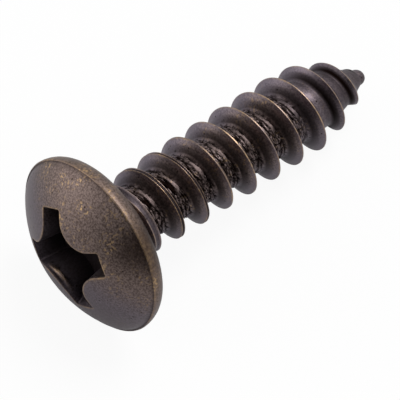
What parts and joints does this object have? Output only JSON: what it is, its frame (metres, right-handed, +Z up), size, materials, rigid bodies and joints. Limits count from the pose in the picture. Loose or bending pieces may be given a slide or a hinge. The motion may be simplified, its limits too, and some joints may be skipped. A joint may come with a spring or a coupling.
{
  "type": "round head wood screw",
  "caption": "Wood screw with a wide low-dome round head, a cross recess, a coarse sharp thread up to the head and a gimlet point, in an antique bronze finish.",
  "frame": {"origin": "middle of the lying screw's box, on the surface that it lies on", "axes": "+X from the head towards the point, +Z up; the screw's own axis dips 10.4 degrees below +X towards the point"},
  "size_m": [0.0188, 0.0088, 0.0088],
  "materials": {
    "antique_bronze": "steel with a matte antique bronze plating, worn bright on its edges"
  },
  "bodies": {
    "root": {"screw": "antique_bronze"}
  },
  "joints": []
}
